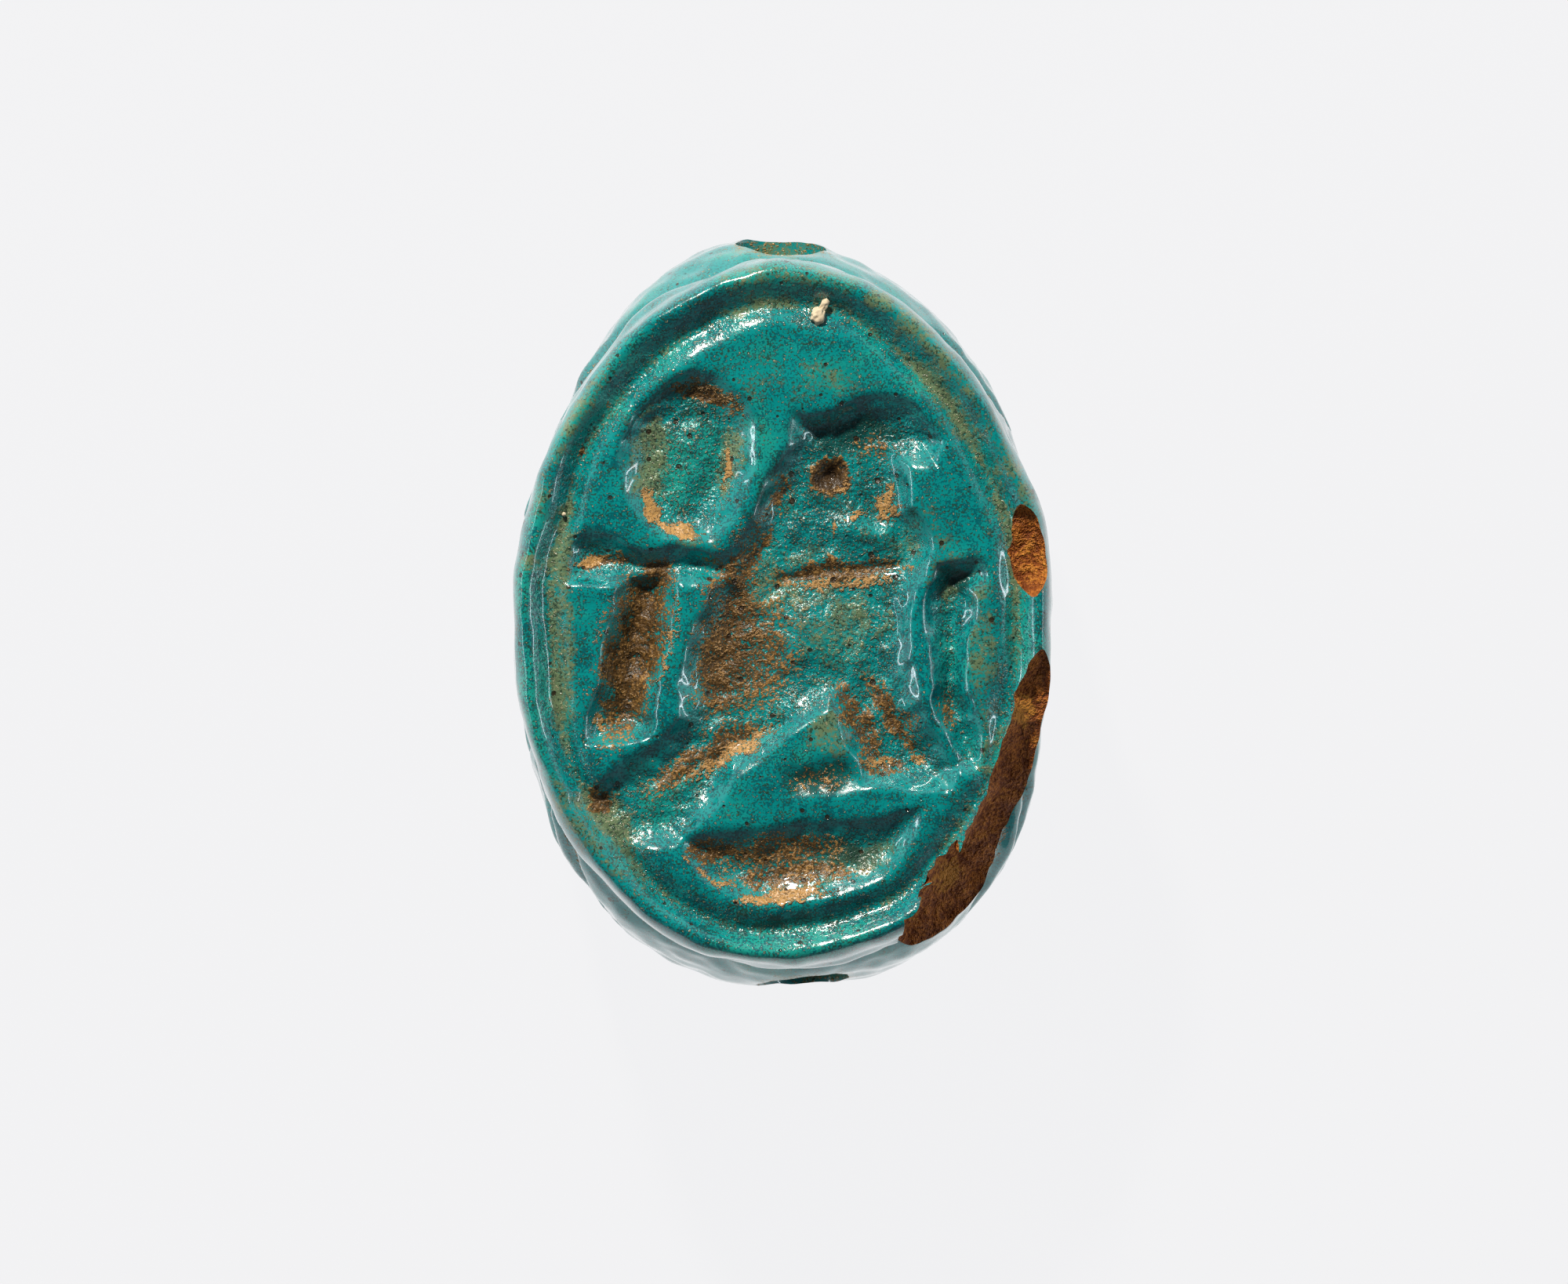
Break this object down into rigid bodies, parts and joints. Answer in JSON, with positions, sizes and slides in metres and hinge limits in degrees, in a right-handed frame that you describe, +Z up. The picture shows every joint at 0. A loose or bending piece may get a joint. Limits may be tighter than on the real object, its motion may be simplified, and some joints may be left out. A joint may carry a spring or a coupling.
{
  "type": "scarab amulet",
  "caption": "Small oval beetle amulet of turquoise glazed faience, its flat underside carved with worn signs inside a raised border, pierced lengthwise for a thread.",
  "frame": {"origin": "middle of the small flat spot on the beetle's back, on which the amulet lies", "axes": "+Z up out of the carved face, +Y along the body to the beetle's head, +X to the right of the carved face"},
  "size_m": [0.011, 0.015, 0.0068],
  "materials": {
    "glazed_faience": "glossy turquoise glaze, pooled dark in the grooves, with brown earth in the cuts and a brown core where it is chipped"
  },
  "bodies": {
    "root": {"scarab": "glazed_faience"}
  },
  "joints": []
}
